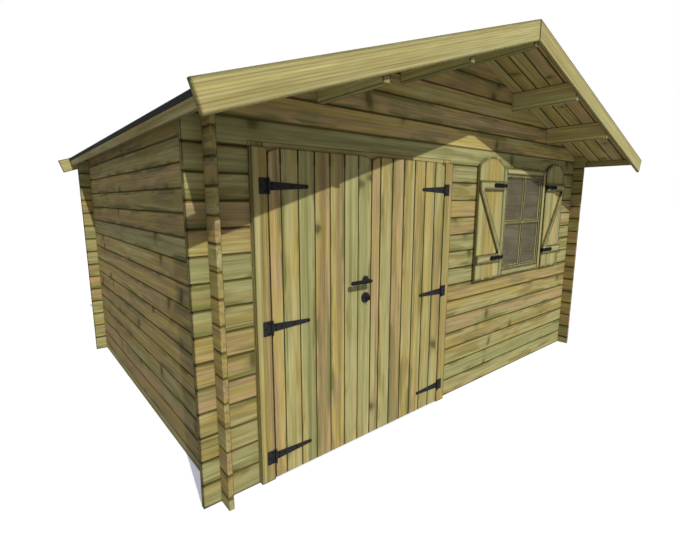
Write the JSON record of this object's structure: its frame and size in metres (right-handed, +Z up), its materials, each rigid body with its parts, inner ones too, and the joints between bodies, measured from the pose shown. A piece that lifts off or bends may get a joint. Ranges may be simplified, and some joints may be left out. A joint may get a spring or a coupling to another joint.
{
  "type": "garden shed",
  "caption": "Garden shed of stacked machined logs with crossed corners, a felted saddle roof, a ledged double door and a shuttered window.",
  "frame": {"origin": "on the ground below the middle of the roof's outline", "axes": "+Z up, -Y is the front with the door and window, +X to the right seen from the front, along the front wall"},
  "size_m": [4.4608, 3.68, 2.6711],
  "materials": {
    "log_wall": "planed, pressure treated pine logs",
    "sawn_pine": "sawn, pressure treated pine",
    "roof_board": "planed tongued boards",
    "planed_trim": "planed, pressure treated pine",
    "door_board": "planed boards",
    "shutter_board": "planed boards",
    "roofing_felt": "mineral faced bitumen felt",
    "black_iron": "black powder coat",
    "window_glass": "clear float glass"
  },
  "bodies": {
    "shed": {"back_wall": "log_wall", "back_gable": "log_wall", "left_wall": "log_wall", "right_wall": "log_wall", "front_wall_left": "log_wall", "front_wall_middle": "log_wall", "front_wall_right": "log_wall", "front_wall_under_window": "log_wall", "front_wall_over_window": "log_wall", "front_wall_over_door": "log_wall", "front_gable": "log_wall", "ridge_purlin": "sawn_pine", "purlin_left_upper": "sawn_pine", "purlin_left_lower": "sawn_pine", "purlin_right_upper": "sawn_pine", "purlin_right_lower": "sawn_pine", "floor_boards": "sawn_pine", "floor_bearers": "sawn_pine", "roof_boards_left": "roof_board", "roof_boards_right": "roof_board", "roof_felt_left": "roofing_felt", "roof_felt_right": "roofing_felt", "ridge_felt": "roofing_felt", "eaves_board_left": "planed_trim", "eaves_board_right": "planed_trim", "barge_board_front_left": "planed_trim", "barge_board_front_right": "planed_trim", "barge_board_rear_left": "planed_trim", "barge_board_rear_right": "planed_trim", "door_jambs": "planed_trim", "door_head": "planed_trim", "door_sill": "planed_trim", "door_posts": "planed_trim", "window_jambs": "planed_trim", "window_rails": "planed_trim", "window_sash": "planed_trim", "door_hinge_plates": "black_iron", "shutter_pintles": "black_iron", "window_glass": "window_glass"},
    "left_door": {"door_leaf_left": "door_board", "door_ledges_left": "door_board", "door_straps_left": "black_iron", "door_rose": "black_iron", "door_lock": "black_iron"},
    "right_door": {"door_leaf_right": "door_board", "door_ledges_right": "door_board", "door_straps_right": "black_iron"},
    "door_handle": {"door_lever": "black_iron"},
    "left_shutter": {"shutter_left": "shutter_board", "shutter_ledges_left": "shutter_board", "shutter_straps_left": "black_iron"},
    "right_shutter": {"shutter_right": "shutter_board", "shutter_ledges_right": "shutter_board", "shutter_straps_right": "black_iron"}
  },
  "joints": [
    {"name": "left_door_hinge", "type": "hinge", "parent": "shed", "child": "left_door", "pos_m": [-1.68, -1.356, 0.892], "axis": [0, 0, -1], "range_deg": [0, 105]},
    {"name": "right_door_hinge", "type": "hinge", "parent": "shed", "child": "right_door", "pos_m": [-0.242, -1.356, 0.892], "axis": [0, 0, 1], "range_deg": [0, 105]},
    {"name": "handle_turn", "type": "hinge", "parent": "left_door", "child": "door_handle", "pos_m": [-1.01, -1.373, 1.071], "axis": [0, -1, 0], "range_deg": [0, 40]},
    {"name": "left_shutter_hinge", "type": "hinge", "parent": "shed", "child": "left_shutter", "pos_m": [0.567, -1.371, 1.4], "axis": [0, 0, 1], "range_deg": [0, 180]},
    {"name": "right_shutter_hinge", "type": "hinge", "parent": "shed", "child": "right_shutter", "pos_m": [1.321, -1.371, 1.4], "axis": [0, 0, -1], "range_deg": [0, 180]}
  ]
}
